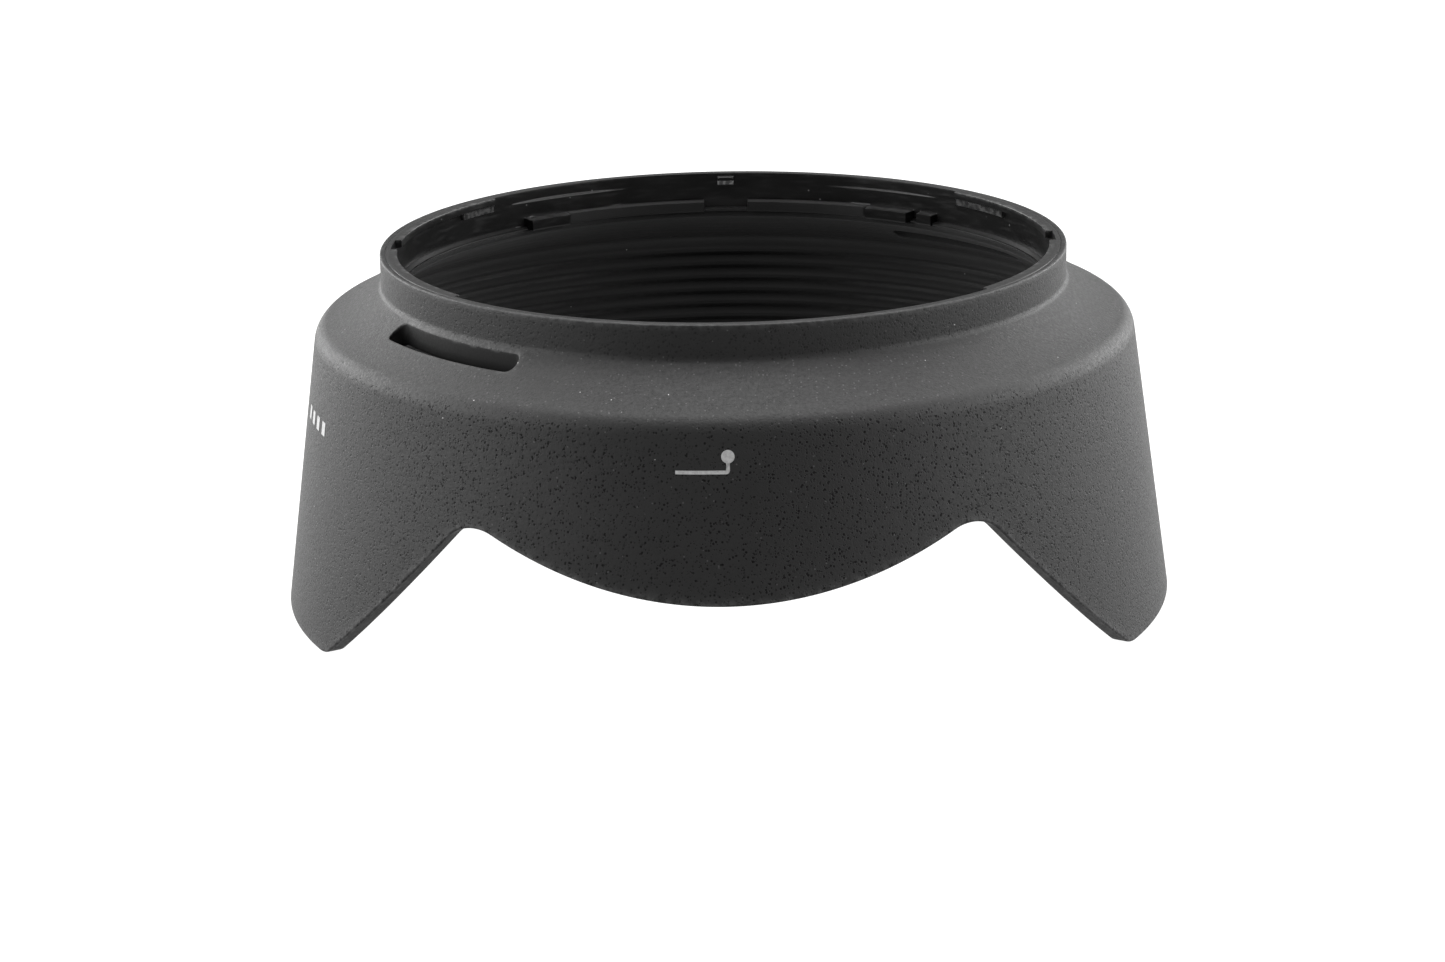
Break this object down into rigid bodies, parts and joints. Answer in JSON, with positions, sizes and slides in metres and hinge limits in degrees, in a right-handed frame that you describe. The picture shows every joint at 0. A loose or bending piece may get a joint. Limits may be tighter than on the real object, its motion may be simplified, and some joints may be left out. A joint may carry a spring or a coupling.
{
  "type": "petal lens hood",
  "caption": "Petal-shaped camera lens hood with a bayonet collar, shown standing on its long petals, lens side up.",
  "frame": {"origin": "centre of the circle that the two long petals stand on", "axes": "+Z along the optical axis towards the lens side, +X towards a long petal, -Y towards the short petal with the alignment mark"},
  "size_m": [0.1104, 0.1062, 0.0433],
  "materials": {
    "textured_black_plastic": "fine spark-eroded grain, matte, worn slightly grey on the edges",
    "smooth_black_plastic": "smooth moulded black with a soft gloss",
    "grey_print": "thin matt light grey pad print"
  },
  "bodies": {
    "root": {"petal_shell": "textured_black_plastic", "bayonet_ring": "smooth_black_plastic", "index_mark": "grey_print", "side_tick_1": "grey_print", "side_tick_2": "grey_print", "side_tick_3": "grey_print", "side_tick_4": "grey_print"}
  },
  "joints": []
}
